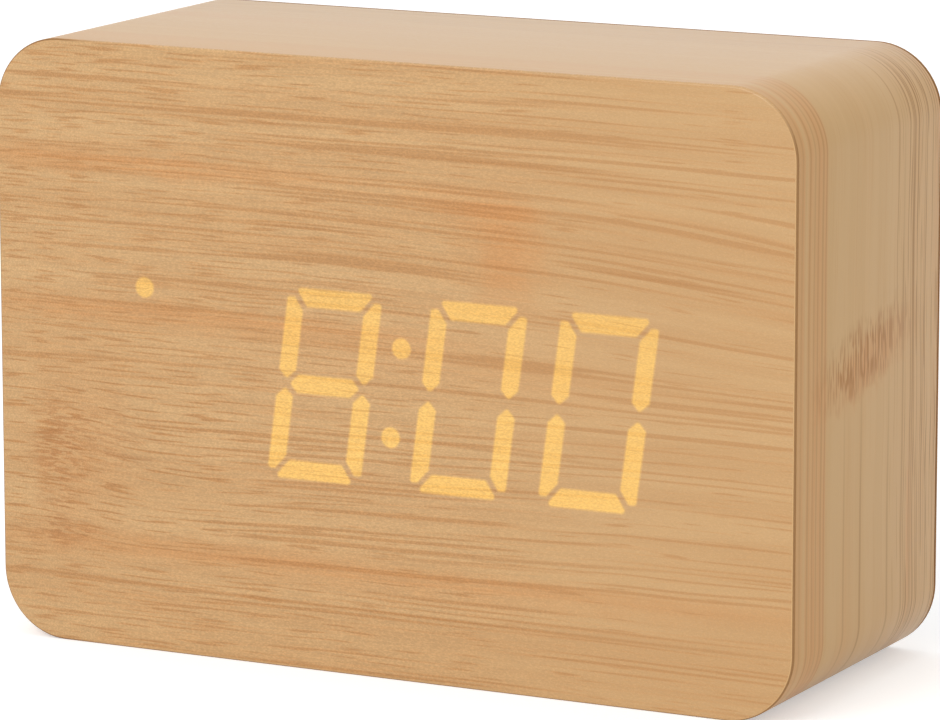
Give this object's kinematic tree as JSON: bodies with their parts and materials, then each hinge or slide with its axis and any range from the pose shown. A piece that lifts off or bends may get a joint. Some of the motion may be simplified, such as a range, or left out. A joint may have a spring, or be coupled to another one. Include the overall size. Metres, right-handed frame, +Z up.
{
  "type": "digital led desk clock",
  "caption": "Box-shaped desk clock with round corners and bamboo-look film; slanted segment digits shine through the front film, and a rear cover holds buttons, power inlet and cell door.",
  "frame": {"origin": "underside, at the middle of the width and the depth", "axes": "+X to the right as seen from the front, +Y to the back, +Z up; the display faces -Y"},
  "size_m": [0.1, 0.04, 0.07],
  "materials": {
    "fibreboard": "raw fibreboard, matt",
    "bamboo_film": "printed bamboo-look film, satin",
    "lit_film": "film lit warm white from behind",
    "clear_plastic": "clear lens, smooth",
    "white_plastic": "moulded, satin",
    "black_plastic": "moulded, fine matt grain",
    "button_plastic": "moulded, satin",
    "circuit_board": "solder resist, satin",
    "chip_plastic": "epoxy, matt",
    "light_chip": "phosphor, matt",
    "steel": "zinc plated",
    "spring_steel": "nickel plated",
    "cell_jacket": "printed sleeve, plain",
    "ribbon_plastic": "flexible sheath, satin",
    "capacitor_can": "sleeved can",
    "lead_sheath": "flexible sheath, satin"
  },
  "bodies": {
    "case_body": {"body_block": "fibreboard", "wrap_film": "bamboo_film", "front_film": "bamboo_film", "rear_film": "bamboo_film", "lit_segments": "lit_film", "light_baffle": "white_plastic", "segment_lenses": "clear_plastic", "display_board": "circuit_board", "light_chips": "light_chip", "display_driver": "chip_plastic", "display_screws": "steel", "rear_cover": "black_plastic", "cover_screws": "steel", "tact_switches": "chip_plastic", "main_board": "circuit_board", "board_screws": "steel", "power_socket": "spring_steel", "buzzer": "chip_plastic", "controller": "chip_plastic", "crystal_can": "spring_steel", "capacitors": "capacitor_can", "ribbon_plugs": "white_plastic", "display_ribbon": "ribbon_plastic", "battery_cells": "cell_jacket", "contact_plates": "spring_steel", "contact_springs": "spring_steel", "battery_leads": "lead_sheath"},
    "set_button_body": {"set_button": "button_plastic", "set_plunger": "white_plastic"},
    "up_button_body": {"up_button": "button_plastic", "up_plunger": "white_plastic"},
    "down_button_body": {"down_button": "button_plastic", "down_plunger": "white_plastic"},
    "door_body": {"battery_door": "black_plastic"}
  },
  "joints": [
    {"name": "set_press", "type": "slide", "parent": "case_body", "child": "set_button_body", "axis": [0, -1, 0], "range_m": [0, 0.0005], "stiffness_N_per_m": 1500},
    {"name": "up_press", "type": "slide", "parent": "case_body", "child": "up_button_body", "axis": [0, -1, 0], "range_m": [0, 0.0005], "stiffness_N_per_m": 1500},
    {"name": "down_press", "type": "slide", "parent": "case_body", "child": "down_button_body", "axis": [0, -1, 0], "range_m": [0, 0.0005], "stiffness_N_per_m": 1500},
    {"name": "door_swing", "type": "hinge", "parent": "case_body", "child": "door_body", "pos_m": [0, 0.0187, 0.0094], "axis": [-1, 0, 0], "range_deg": [0, 60]}
  ]
}
